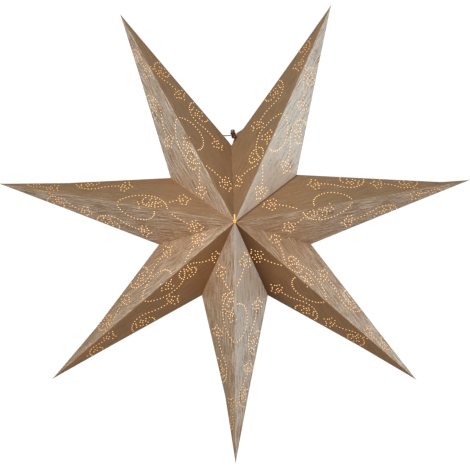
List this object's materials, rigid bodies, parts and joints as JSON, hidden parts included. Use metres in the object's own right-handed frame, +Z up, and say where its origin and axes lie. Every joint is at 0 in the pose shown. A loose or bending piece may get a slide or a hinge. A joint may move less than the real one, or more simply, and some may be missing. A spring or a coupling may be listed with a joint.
{
  "type": "paper star lantern",
  "caption": "Hanging star lantern of folded card: long hollow points glued side by side around raised front and back centres, with a closing seam, a cord inlet and a string tie at the top.",
  "frame": {"origin": "the star's centre, midway between its front and back centres, in the plane of the tips and notches", "axes": "+Z up, towards the top notch where the star hangs; -Y is the front; +X to the right as seen from the front"},
  "size_m": [0.6199, 0.199, 0.5973],
  "materials": {
    "card": "pearly brown card with a silver grain",
    "string": "dark brown twisted string"
  },
  "bodies": {
    "root": {"point_top_left": "card", "point_left": "card", "point_lower_left": "card", "point_bottom": "card", "point_lower_right": "card", "point_right": "card", "point_top_right": "card", "closing_tie": "string"}
  },
  "joints": []
}
